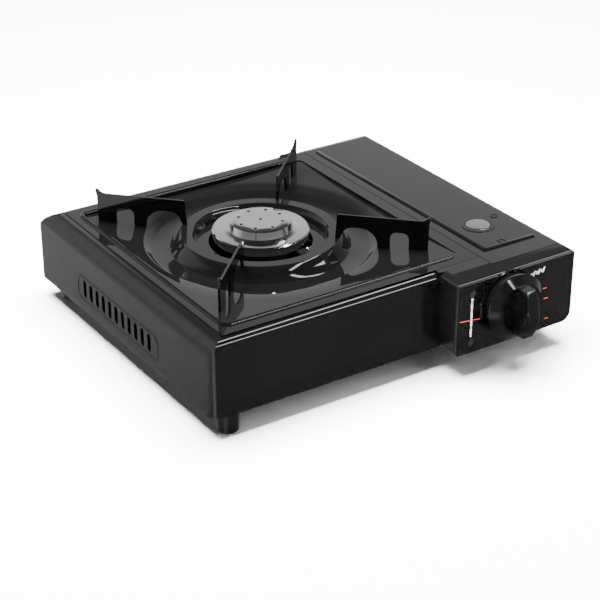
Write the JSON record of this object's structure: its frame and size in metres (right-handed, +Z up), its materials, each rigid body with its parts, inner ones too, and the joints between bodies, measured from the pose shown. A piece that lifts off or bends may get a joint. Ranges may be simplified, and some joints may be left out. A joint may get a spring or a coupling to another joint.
{
  "type": "portable gas stove",
  "caption": "Low rectangular portable gas stove with a round burner, sheet pan supports, a drip pan, a front control knob and a side canister bay under a hinged lid.",
  "frame": {"origin": "on the ground under the middle of the whole outline", "axes": "+X to the canister side, +Y to the back, away from the control knob, +Z up"},
  "size_m": [0.344, 0.368, 0.1187],
  "materials": {
    "enamel_body": "glossy black enamel on stamped steel",
    "enamel_pan": "glossy black enamel on pressed steel",
    "panel_plastic": "glossy black moulded plastic",
    "knob_plastic": "glossy black moulded plastic",
    "bright_steel": "bright nickel-plated steel",
    "plain_steel": "zinc-plated sheet steel",
    "burner_iron": "cast burner cup",
    "light_alloy": "bare aluminium",
    "die_cast": "die-cast alloy",
    "brass": "turned brass",
    "black_rubber": "black rubber",
    "foot_plastic": "matt black moulded plastic",
    "lead_sleeve": "insulated lead",
    "ceramic": "glazed ceramic insulator"
  },
  "bodies": {
    "base": {"body_shell": "enamel_body", "base_plate": "plain_steel", "foot_front_left": "foot_plastic", "foot_front_right": "foot_plastic", "foot_back_left": "foot_plastic", "foot_back_right": "foot_plastic", "foot_screws": "plain_steel", "bay_divider": "plain_steel", "burner_cap": "bright_steel", "burner_base": "burner_iron", "mixing_tube": "plain_steel", "burner_bracket": "plain_steel", "control_panel": "panel_plastic", "panel_screws": "plain_steel", "knob_bezel": "knob_plastic", "regulator_body": "die_cast", "canister_collar": "die_cast", "collar_seal": "black_rubber", "gas_pipe": "light_alloy", "gas_jet": "brass", "piezo_igniter": "foot_plastic", "spark_electrode": "plain_steel", "electrode_insulator": "ceramic", "electrode_clip": "plain_steel", "igniter_lead": "lead_sleeve", "heat_conductor": "light_alloy", "lid_hinge_brackets": "plain_steel", "rear_pan_stop": "enamel_body"},
    "knob": {"control_knob": "knob_plastic", "knob_shaft": "brass"},
    "lid": {"lid": "enamel_body", "lid_hinge_ears": "plain_steel", "lid_hinge_pins": "plain_steel", "lid_lock_cup": "enamel_body"},
    "lock": {"lid_lock_knob": "bright_steel", "lid_lock_tongue": "plain_steel"},
    "pan": {"drip_pan": "enamel_pan", "pan_support_front_left": "enamel_pan", "pan_support_front_right": "enamel_pan", "pan_support_back_left": "enamel_pan", "pan_support_back_right": "enamel_pan"}
  },
  "joints": [
    {"name": "knob_turn", "type": "hinge", "parent": "base", "child": "knob", "pos_m": [0.0995, -0.124, 0.059], "axis": [0, -1, 0], "range_deg": [0, 105]},
    {"name": "lid_open", "type": "hinge", "parent": "base", "child": "lid", "pos_m": [0.1682, 0.026, 0.064], "axis": [0, 1, 0], "range_deg": [0, 93]},
    {"name": "lid_lock_turn", "type": "hinge", "parent": "lid", "child": "lock", "pos_m": [0.1295, -0.0685, 0.09], "axis": [0, 0, 1], "range_deg": [0, 90]},
    {"name": "pan_lift", "type": "slide", "parent": "base", "child": "pan", "axis": [0, 0, 1], "range_m": [0, 0.06]}
  ]
}
